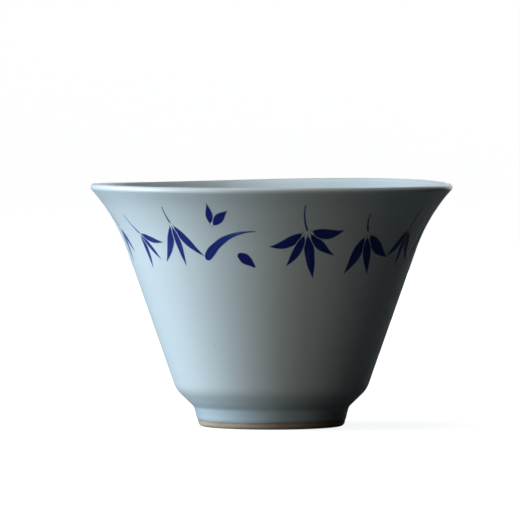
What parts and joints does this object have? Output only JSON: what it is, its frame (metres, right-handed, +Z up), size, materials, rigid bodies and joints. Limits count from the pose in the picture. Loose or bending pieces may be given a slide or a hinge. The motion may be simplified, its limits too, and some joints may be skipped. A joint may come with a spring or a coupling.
{
  "type": "teacup",
  "caption": "Flared porcelain teacup on a turned foot ring, glazed pale blue-white, with a band of cobalt bamboo-leaf brushwork under the lip.",
  "frame": {"origin": "middle of the ring of bare clay that the cup stands on", "axes": "+Z up the cup's axis to the open mouth, -Y towards the front, where the long brush stroke ends, +X to the right seen from the front"},
  "size_m": [0.09, 0.09, 0.0607],
  "materials": {
    "porcelain_body": "white fired porcelain, hidden under the glaze",
    "bare_foot": "unglazed biscuit, burnt brown where it met the kiln shelf",
    "pale_glaze": "smooth satin-gloss glaze, white with a faint blue-green cast that deepens where it pools",
    "cobalt_brushwork": "cobalt blue under the glaze, darker where the brush was full"
  },
  "bodies": {
    "root": {"base_glaze": "pale_glaze", "dab_1": "cobalt_brushwork", "dab_2": "cobalt_brushwork", "dab_3": "cobalt_brushwork", "foot_ring": "bare_foot", "inside_glaze": "pale_glaze", "outside_glaze": "pale_glaze", "porcelain_bowl": "porcelain_body", "reed_1": "cobalt_brushwork", "reed_2": "cobalt_brushwork", "reed_3": "cobalt_brushwork", "sprig_01_leaf_1": "cobalt_brushwork", "sprig_01_leaf_2": "cobalt_brushwork", "sprig_01_twig": "cobalt_brushwork", "sprig_02_leaf_1": "cobalt_brushwork", "sprig_02_leaf_2": "cobalt_brushwork", "sprig_02_leaf_3": "cobalt_brushwork", "sprig_02_twig": "cobalt_brushwork", "sprig_03_leaf_1": "cobalt_brushwork", "sprig_03_leaf_2": "cobalt_brushwork", "sprig_03_leaf_3": "cobalt_brushwork", "sprig_03_twig": "cobalt_brushwork", "sprig_04_leaf_1": "cobalt_brushwork", "sprig_04_leaf_2": "cobalt_brushwork", "sprig_05_leaf_1": "cobalt_brushwork", "sprig_05_leaf_2": "cobalt_brushwork", "sprig_05_leaf_3": "cobalt_brushwork", "sprig_05_leaf_4": "cobalt_brushwork", "sprig_05_leaf_5": "cobalt_brushwork", "sprig_05_twig": "cobalt_brushwork", "sprig_06_leaf_1": "cobalt_brushwork", "sprig_06_leaf_2": "cobalt_brushwork", "sprig_06_leaf_3": "cobalt_brushwork", "sprig_06_twig": "cobalt_brushwork", "sprig_07_leaf_1": "cobalt_brushwork", "sprig_07_leaf_2": "cobalt_brushwork", "sprig_07_leaf_3": "cobalt_brushwork", "sprig_07_twig": "cobalt_brushwork", "sprig_08_leaf_1": "cobalt_brushwork", "sprig_08_leaf_2": "cobalt_brushwork", "sprig_08_twig": "cobalt_brushwork", "sprig_09_leaf_1": "cobalt_brushwork", "sprig_09_leaf_2": "cobalt_brushwork", "sprig_09_leaf_3": "cobalt_brushwork", "sprig_09_twig": "cobalt_brushwork", "sprig_10_leaf_1": "cobalt_brushwork", "sprig_10_leaf_2": "cobalt_brushwork", "sprig_10_twig": "cobalt_brushwork", "sprig_11_leaf_1": "cobalt_brushwork", "sprig_11_leaf_2": "cobalt_brushwork", "sprig_11_leaf_3": "cobalt_brushwork", "sprig_11_twig": "cobalt_brushwork", "sprig_12_leaf_1": "cobalt_brushwork", "sprig_12_leaf_2": "cobalt_brushwork", "sprig_12_leaf_3": "cobalt_brushwork", "sprig_12_twig": "cobalt_brushwork", "sprig_13_leaf_1": "cobalt_brushwork", "sprig_13_leaf_2": "cobalt_brushwork", "sprig_13_twig": "cobalt_brushwork"}
  },
  "joints": []
}
